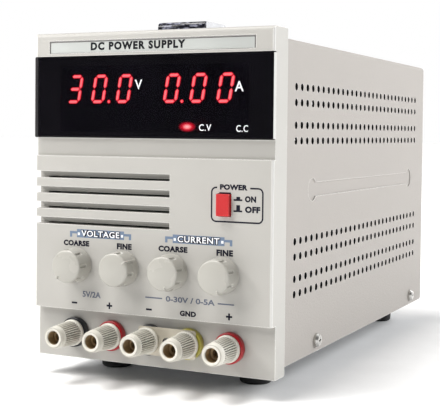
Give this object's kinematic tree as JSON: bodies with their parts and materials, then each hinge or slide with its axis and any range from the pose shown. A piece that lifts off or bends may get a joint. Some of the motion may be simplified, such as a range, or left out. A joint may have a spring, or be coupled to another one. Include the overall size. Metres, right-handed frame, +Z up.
{
  "type": "bench power supply",
  "caption": "Bench DC power supply: light grey case with vented sides, red digit display, knobs, push switch, binding posts with screw caps, carry strap and rear fan.",
  "frame": {"origin": "on the bench under the middle of the whole part, at the bottom of the rubber feet", "axes": "+X to the right seen from the front, +Y from the front panel to the back, +Z up; the front panel faces -Y"},
  "size_m": [0.1316, 0.2768, 0.1787],
  "materials": {
    "panel_plastic": "fine grained moulded ABS, light warm grey",
    "window_acrylic": "smoked acrylic, polished",
    "plate_silver": "satin silver",
    "case_paint": "fine textured powder coat, warm grey",
    "tray_steel": "zinc plated sheet",
    "screw_steel": "bright nickel plate",
    "foot_rubber": "matte black rubber",
    "strap_vinyl": "soft vinyl, light grey",
    "handle_black": "gloss black moulding",
    "knob_ivory": "satin ivory moulding",
    "shaft_alloy": "turned aluminium",
    "pot_shell": "stamped steel can",
    "button_red": "satin red moulding",
    "plunger_white": "nylon",
    "switch_black": "moulded switch body",
    "board_green": "green glass-epoxy board",
    "digit_black": "black display module",
    "segment_red": "lit red segment",
    "led_red_lit": "lit red indicator",
    "led_red_dark": "unlit red indicator",
    "post_brass": "turned brass",
    "collar_black": "black moulding",
    "collar_red": "red moulding",
    "collar_yellow": "olive yellow moulding",
    "link_metal": "nickel plated brass strip",
    "cap_ivory": "satin ivory moulding",
    "core_steel": "varnished steel laminations",
    "winding_tape": "yellow polyester tape",
    "capacitor_sleeve": "dark blue heat-shrink sleeve",
    "sink_alloy": "bare extrusion",
    "package_black": "epoxy package",
    "fan_black": "black fan moulding",
    "guard_wire": "nickel plated wire",
    "inlet_black": "black nylon inlet",
    "contact_nickel": "nickel plated contact"
  },
  "bodies": {
    "case": {"front_bezel": "panel_plastic", "display_window": "window_acrylic", "name_plate": "plate_silver", "case_cover": "case_paint", "base_chassis": "tray_steel", "rear_panel": "case_paint", "case_screws": "screw_steel", "rubber_feet": "foot_rubber", "foot_screws": "screw_steel", "strap_ends": "strap_vinyl", "handle_ends": "handle_black", "handle_screws": "screw_steel", "pot_bodies": "pot_shell", "pot_nuts": "screw_steel", "switch_body": "switch_black", "display_board": "board_green", "digit_modules": "digit_black", "lit_segments": "segment_red", "cv_led": "led_red_lit", "cc_led": "led_red_dark", "post_studs": "post_brass", "collars_black": "collar_black", "collars_red": "collar_red", "collar_yellow": "collar_yellow", "post_nuts": "screw_steel", "ground_link": "link_metal", "transformer_core": "core_steel", "transformer_windings": "winding_tape", "main_board": "board_green", "filter_capacitors": "capacitor_sleeve", "heatsinks": "sink_alloy", "power_transistors": "package_black", "fan_frame": "fan_black", "fan_guard": "guard_wire", "fan_screws": "screw_steel", "inlet_body": "inlet_black", "inlet_pins": "contact_nickel"},
    "voltage_coarse_control": {"knob_voltage_coarse": "knob_ivory", "shaft_voltage_coarse": "shaft_alloy"},
    "voltage_fine_control": {"knob_voltage_fine": "knob_ivory", "shaft_voltage_fine": "shaft_alloy"},
    "current_coarse_control": {"knob_current_coarse": "knob_ivory", "shaft_current_coarse": "shaft_alloy"},
    "current_fine_control": {"knob_current_fine": "knob_ivory", "shaft_current_fine": "shaft_alloy"},
    "power_push": {"power_button": "button_red", "switch_plunger": "plunger_white"},
    "aux_minus_insert": {"insert_1": "post_brass"},
    "aux_minus_cap": {"cap_1": "cap_ivory"},
    "aux_plus_insert": {"insert_2": "post_brass"},
    "aux_plus_cap": {"cap_2": "cap_ivory"},
    "minus_insert": {"insert_3": "post_brass"},
    "minus_cap": {"cap_3": "cap_ivory"},
    "ground_insert": {"insert_4": "post_brass"},
    "ground_cap": {"cap_4": "cap_ivory"},
    "plus_insert": {"insert_5": "post_brass"},
    "plus_cap": {"cap_5": "cap_ivory"},
    "carry_strap": {"handle_strap": "strap_vinyl"},
    "fan": {"fan_rotor": "fan_black"},
    "fuse_tray": {"fuse_drawer": "inlet_black"}
  },
  "joints": [
    {"name": "voltage_coarse_turn", "type": "hinge", "parent": "case", "child": "voltage_coarse_control", "pos_m": [-0.0399, -0.1265, 0.0573], "axis": [0, -1, 0], "range_deg": [-290, 10]},
    {"name": "voltage_fine_turn", "type": "hinge", "parent": "case", "child": "voltage_fine_control", "pos_m": [-0.0133, -0.1265, 0.0573], "axis": [0, -1, 0], "range_deg": [-93, 207]},
    {"name": "current_coarse_turn", "type": "hinge", "parent": "case", "child": "current_coarse_control", "pos_m": [0.0133, -0.1265, 0.0573], "axis": [0, -1, 0], "range_deg": [0, 300]},
    {"name": "current_fine_turn", "type": "hinge", "parent": "case", "child": "current_fine_control", "pos_m": [0.0399, -0.1265, 0.0573], "axis": [0, -1, 0], "range_deg": [-5, 295]},
    {"name": "power_button_press", "type": "slide", "parent": "case", "child": "power_push", "axis": [0, 1, 0], "range_m": [-0.003, 0]},
    {"name": "aux_minus_cap_travel", "type": "slide", "parent": "case", "child": "aux_minus_insert", "axis": [0, -1, 0], "range_m": [0, 0.005]},
    {"name": "aux_minus_cap_turn", "type": "hinge", "parent": "aux_minus_insert", "child": "aux_minus_cap", "pos_m": [-0.0426, -0.1295, 0.0233], "axis": [0, -1, 0], "range_deg": [0, 1800]},
    {"name": "aux_plus_cap_travel", "type": "slide", "parent": "case", "child": "aux_plus_insert", "axis": [0, -1, 0], "range_m": [0, 0.005]},
    {"name": "aux_plus_cap_turn", "type": "hinge", "parent": "aux_plus_insert", "child": "aux_plus_cap", "pos_m": [-0.0213, -0.1295, 0.0233], "axis": [0, -1, 0], "range_deg": [0, 1800]},
    {"name": "minus_cap_travel", "type": "slide", "parent": "case", "child": "minus_insert", "axis": [0, -1, 0], "range_m": [0, 0.005]},
    {"name": "minus_cap_turn", "type": "hinge", "parent": "minus_insert", "child": "minus_cap", "pos_m": [0, -0.1295, 0.0233], "axis": [0, -1, 0], "range_deg": [0, 1800]},
    {"name": "ground_cap_travel", "type": "slide", "parent": "case", "child": "ground_insert", "axis": [0, -1, 0], "range_m": [0, 0.005]},
    {"name": "ground_cap_turn", "type": "hinge", "parent": "ground_insert", "child": "ground_cap", "pos_m": [0.0213, -0.1295, 0.0233], "axis": [0, -1, 0], "range_deg": [0, 1800]},
    {"name": "plus_cap_travel", "type": "slide", "parent": "case", "child": "plus_insert", "axis": [0, -1, 0], "range_m": [0, 0.005]},
    {"name": "plus_cap_turn", "type": "hinge", "parent": "plus_insert", "child": "plus_cap", "pos_m": [0.0426, -0.1295, 0.0233], "axis": [0, -1, 0], "range_deg": [0, 1800]},
    {"name": "handle_strap_lift", "type": "slide", "parent": "case", "child": "carry_strap", "axis": [0, 0, 1], "range_m": [0, 0.015]},
    {"name": "fan_spin", "type": "hinge", "parent": "case", "child": "fan", "pos_m": [0, 0.1212, 0.115], "axis": [0, 1, 0], "continuous": true},
    {"name": "fuse_drawer_slide", "type": "slide", "parent": "case", "child": "fuse_tray", "axis": [0, 1, 0], "range_m": [0, 0.014]}
  ],
  "couplings": [
    {"joint": "aux_minus_cap_turn", "follows": "aux_minus_cap_travel", "rad_per_m": 6283.2},
    {"joint": "aux_plus_cap_turn", "follows": "aux_plus_cap_travel", "rad_per_m": 6283.2},
    {"joint": "minus_cap_turn", "follows": "minus_cap_travel", "rad_per_m": 6283.2},
    {"joint": "ground_cap_turn", "follows": "ground_cap_travel", "rad_per_m": 6283.2},
    {"joint": "plus_cap_turn", "follows": "plus_cap_travel", "rad_per_m": 6283.2}
  ]
}
